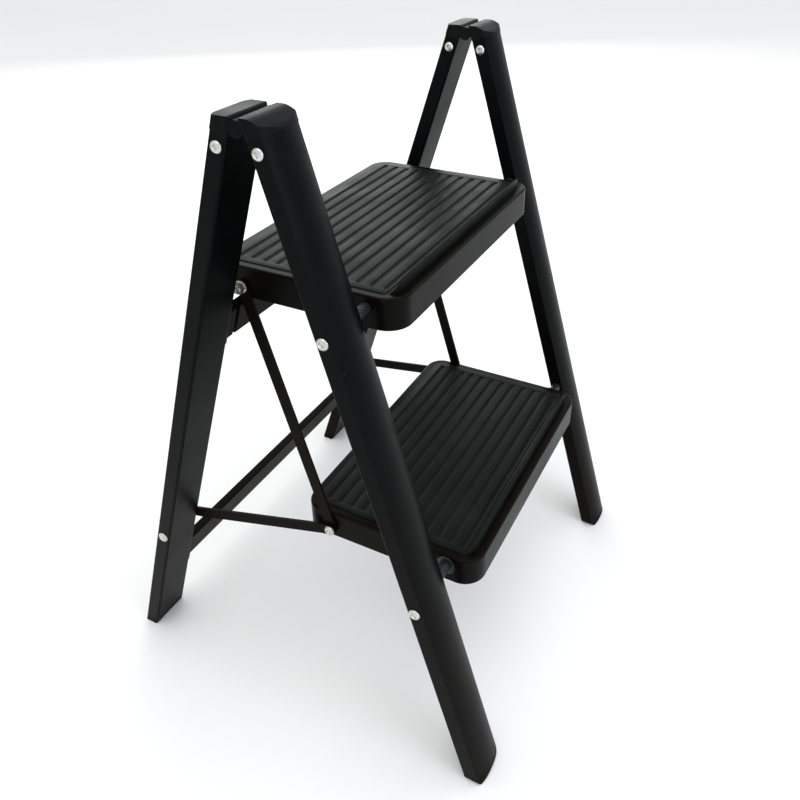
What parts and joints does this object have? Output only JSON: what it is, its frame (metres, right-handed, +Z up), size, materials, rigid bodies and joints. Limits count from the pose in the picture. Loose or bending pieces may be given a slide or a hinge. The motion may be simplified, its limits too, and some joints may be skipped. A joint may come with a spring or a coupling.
{
  "type": "folding step stool",
  "caption": "Folding step stool: ribbed steps hung between hinged rounded-tube legs and tied by flat-bar links, so the steps swing up as it folds.",
  "frame": {"origin": "on the floor at the middle of the open stool's footprint", "axes": "+X across the stool, -Y the side a person climbs from, +Z up"},
  "size_m": [0.4452, 0.4457, 0.6392],
  "materials": {
    "leg_paint": "satin black powder coat on D-section tube",
    "bar_paint": "satin black powder coat on flat bar and pressed channel",
    "pan_paint": "satin dark grey powder coat on pressed sheet",
    "tread_plastic": "ribbed dark grey moulded mat",
    "cap_plastic": "satin black moulding",
    "foot_plastic": "matt black moulding",
    "zinc": "zinc-plated rivets, screws and nuts",
    "black_steel": "black oxide steel"
  },
  "bodies": {
    "front_frame": {"front_leg_left": "leg_paint", "front_foot_left": "foot_plastic", "front_cap_left": "cap_plastic", "front_leg_right": "leg_paint", "front_foot_right": "foot_plastic", "front_cap_right": "cap_plastic", "front_cap_rivets": "zinc", "hinge_pins": "zinc", "upper_pivot_bolts": "zinc", "upper_pivot_spacers": "black_steel", "upper_pivot_nuts": "zinc", "lower_pivot_bolts": "zinc", "lower_pivot_spacers": "black_steel", "lower_pivot_nuts": "zinc"},
    "rear_frame": {"rear_leg_left": "leg_paint", "rear_foot_left": "foot_plastic", "rear_cap_left": "cap_plastic", "rear_leg_right": "leg_paint", "rear_foot_right": "foot_plastic", "rear_cap_right": "cap_plastic", "rear_cap_rivets": "zinc", "brace_leg_rivets": "zinc", "upper_crossbar": "bar_paint", "lower_crossbar": "bar_paint", "crossbar_rivets": "black_steel"},
    "upper_step": {"upper_step_pan": "pan_paint", "upper_step_tread": "tread_plastic", "upper_step_stiffener": "pan_paint", "upper_link_screws": "zinc", "upper_link_nuts": "zinc"},
    "lower_step": {"lower_step_pan": "pan_paint", "lower_step_tread": "tread_plastic", "lower_step_stiffener": "pan_paint", "lower_link_rivets": "zinc"},
    "step_link_left": {"step_link_left": "bar_paint"},
    "step_link_right": {"step_link_right": "bar_paint"},
    "brace_link_left": {"brace_link_left": "bar_paint", "brace_eye_rivet_left": "zinc"},
    "brace_link_right": {"brace_link_right": "bar_paint", "brace_eye_rivet_right": "zinc"}
  },
  "joints": [
    {"name": "frame_fold", "type": "hinge", "parent": "front_frame", "child": "rear_frame", "pos_m": [0, -0.0133, 0.6305], "axis": [-1, 0, 0], "range_deg": [0, 34.6]},
    {"name": "upper_step_swing", "type": "hinge", "parent": "front_frame", "child": "upper_step", "pos_m": [0, -0.07333, 0.47102], "axis": [1, 0, 0], "range_deg": [0, 72.05]},
    {"name": "lower_step_swing", "type": "hinge", "parent": "front_frame", "child": "lower_step", "pos_m": [0, -0.14921, 0.20982], "axis": [1, 0, 0], "range_deg": [0, 72.05]},
    {"name": "step_link_swing_left", "type": "hinge", "parent": "upper_step", "child": "step_link_left", "pos_m": [-0.157, 0.05418, 0.46302], "axis": [-1, 0, 0], "range_deg": [0, 72.05]},
    {"name": "step_link_swing_right", "type": "hinge", "parent": "upper_step", "child": "step_link_right", "pos_m": [0.157, 0.05418, 0.46302], "axis": [-1, 0, 0], "range_deg": [0, 72.05]},
    {"name": "brace_link_swing_left", "type": "hinge", "parent": "lower_step", "child": "brace_link_left", "pos_m": [-0.157, -0.02171, 0.20181], "axis": [-1, 0, 0], "range_deg": [0, 161.92]},
    {"name": "brace_link_swing_right", "type": "hinge", "parent": "lower_step", "child": "brace_link_right", "pos_m": [0.157, -0.02171, 0.20181], "axis": [-1, 0, 0], "range_deg": [0, 161.92]}
  ],
  "couplings": [
    {"joint": "upper_step_swing", "follows": "frame_fold", "ratio": 2.0809},
    {"joint": "lower_step_swing", "follows": "frame_fold", "ratio": 2.0809},
    {"joint": "step_link_swing_left", "follows": "frame_fold", "ratio": 2.0809},
    {"joint": "step_link_swing_right", "follows": "frame_fold", "ratio": 2.0809},
    {"joint": "brace_link_swing_left", "follows": "frame_fold", "ratio": 4.6784},
    {"joint": "brace_link_swing_right", "follows": "frame_fold", "ratio": 4.6784}
  ]
}
